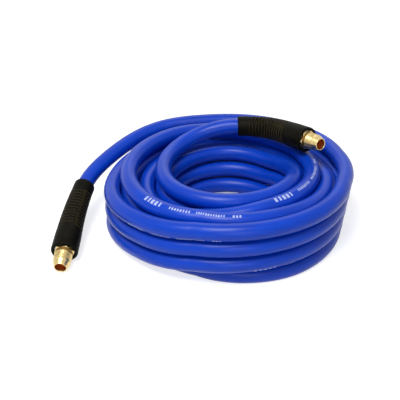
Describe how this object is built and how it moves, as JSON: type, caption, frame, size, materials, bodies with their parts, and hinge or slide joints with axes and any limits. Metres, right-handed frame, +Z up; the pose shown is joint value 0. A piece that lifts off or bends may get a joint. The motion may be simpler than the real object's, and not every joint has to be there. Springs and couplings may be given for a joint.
{
  "type": "coiled air hose",
  "caption": "Rubber air hose wound in a flat coil, with a slotted bend restrictor and a male threaded brass nipple on each end.",
  "frame": {"origin": "on the floor, under the middle of the part's box", "axes": "+Z up, +X from fitting A across the coil, -Y towards the side that both nipples point to"},
  "size_m": [0.2878, 0.2512, 0.0942],
  "materials": {
    "hose": "satin blue rubber",
    "restrictor": "matt black moulded rubber",
    "ferrule": "plated and crimped",
    "brass": "machined and bright"
  },
  "bodies": {
    "root": {"hose_coil": "hose", "hose_lead_a": "hose", "hose_lead_b": "hose", "hose_end_a": "hose", "hose_end_b": "hose", "bend_restrictor_a": "restrictor", "bend_restrictor_b": "restrictor", "ferrule_a": "ferrule", "ferrule_b": "ferrule", "nipple_a": "brass", "nipple_b": "brass"}
  },
  "joints": []
}
